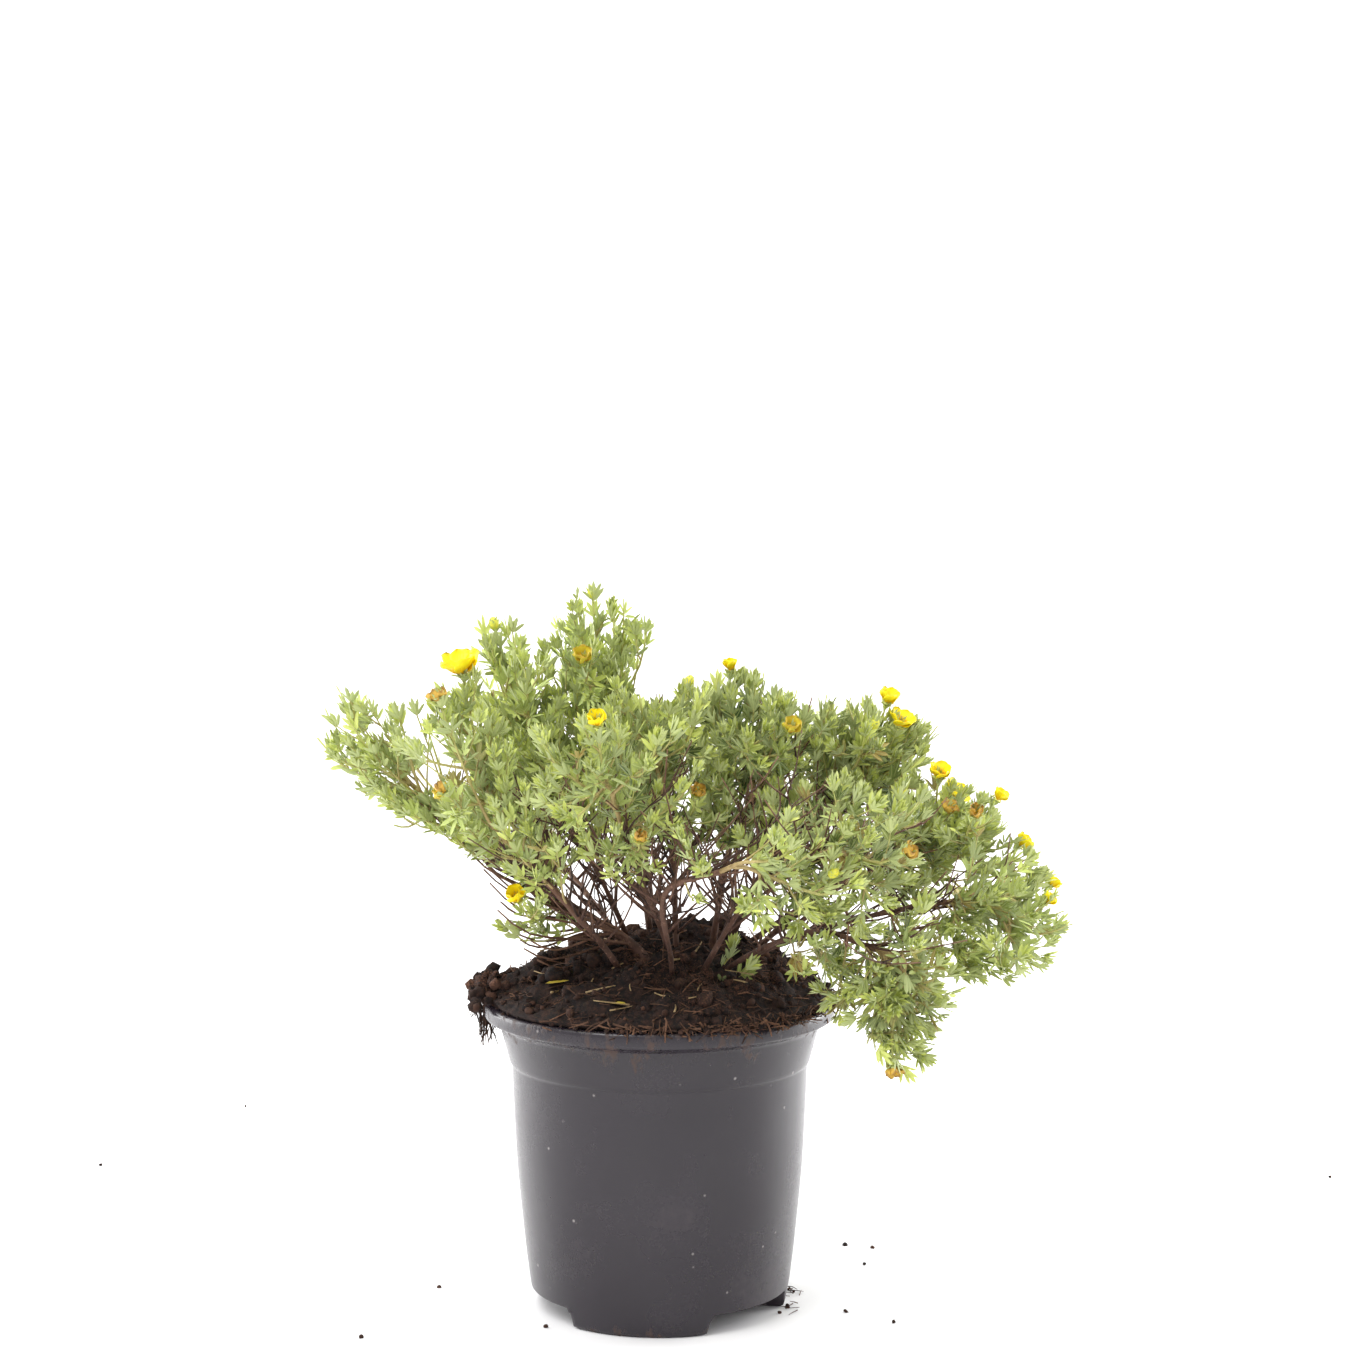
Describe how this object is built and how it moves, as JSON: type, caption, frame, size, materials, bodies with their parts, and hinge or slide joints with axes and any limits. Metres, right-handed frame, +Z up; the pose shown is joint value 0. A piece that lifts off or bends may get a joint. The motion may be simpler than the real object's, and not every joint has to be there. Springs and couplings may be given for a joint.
{
  "type": "potted shrubby cinquefoil",
  "caption": "Low, spreading shrubby cinquefoil with five-part leaves and small yellow flowers, standing in a round black nursery pot filled with peat.",
  "frame": {"origin": "centre of the pot's underside, on the surface it stands on", "axes": "+Z up along the pot's axis, -Y towards the front of the plant as pictured, +X to its right"},
  "size_m": [0.3777, 0.2898, 0.3504],
  "materials": {
    "pot": "black-grey moulded plastic, satin, with dusty soil smears",
    "soil": "dark, moist, fibrous peat",
    "stem": "red-brown, peeling bark",
    "spray": "soft grey-green leaves with silky hairs",
    "bloom": "bright yellow petals",
    "faded_bloom": "orange-brown, wilted petals",
    "bud": "yellow-green closed bud",
    "fallen_leaf": "yellow dry leaflet"
  },
  "bodies": {
    "root": {"bloom_01": "bloom", "bloom_02": "bloom", "bloom_03": "bloom", "bloom_04": "bloom", "bloom_05": "bloom", "bloom_06": "bloom", "bloom_07": "bloom", "bloom_08": "bloom", "bloom_09": "bloom", "bloom_10": "bloom", "bloom_11": "bloom", "bud_01": "bud", "bud_02": "bud", "bud_03": "bud", "faded_bloom_01": "faded_bloom", "faded_bloom_02": "faded_bloom", "faded_bloom_03": "faded_bloom", "faded_bloom_04": "faded_bloom", "faded_bloom_05": "faded_bloom", "faded_bloom_06": "faded_bloom", "fallen_leaf_01": "fallen_leaf", "fallen_leaf_02": "fallen_leaf", "pot": "pot", "soil": "soil", "spray_back_centre": "spray", "spray_back_left": "spray", "spray_back_right": "spray", "spray_centre": "spray", "spray_crown": "spray", "spray_drooping_right": "spray", "spray_far_left": "spray", "spray_far_right": "spray", "spray_front_centre": "spray", "spray_front_left": "spray", "spray_front_right": "spray", "spray_low_back_right": "spray", "spray_low_front": "spray", "spray_low_left": "spray", "spray_right": "spray", "spray_right_centre": "spray", "spray_upper_left": "spray", "spray_upper_right": "spray", "stem_back_centre": "stem", "stem_back_left": "stem", "stem_back_right": "stem", "stem_centre": "stem", "stem_crown": "stem", "stem_drooping_right": "stem", "stem_far_left": "stem", "stem_far_right": "stem", "stem_front_centre": "stem", "stem_front_left": "stem", "stem_front_right": "stem", "stem_low_back_right": "stem", "stem_low_front": "stem", "stem_low_left": "stem", "stem_right": "stem", "stem_right_centre": "stem", "stem_upper_left": "stem", "stem_upper_right": "stem"}
  },
  "joints": []
}
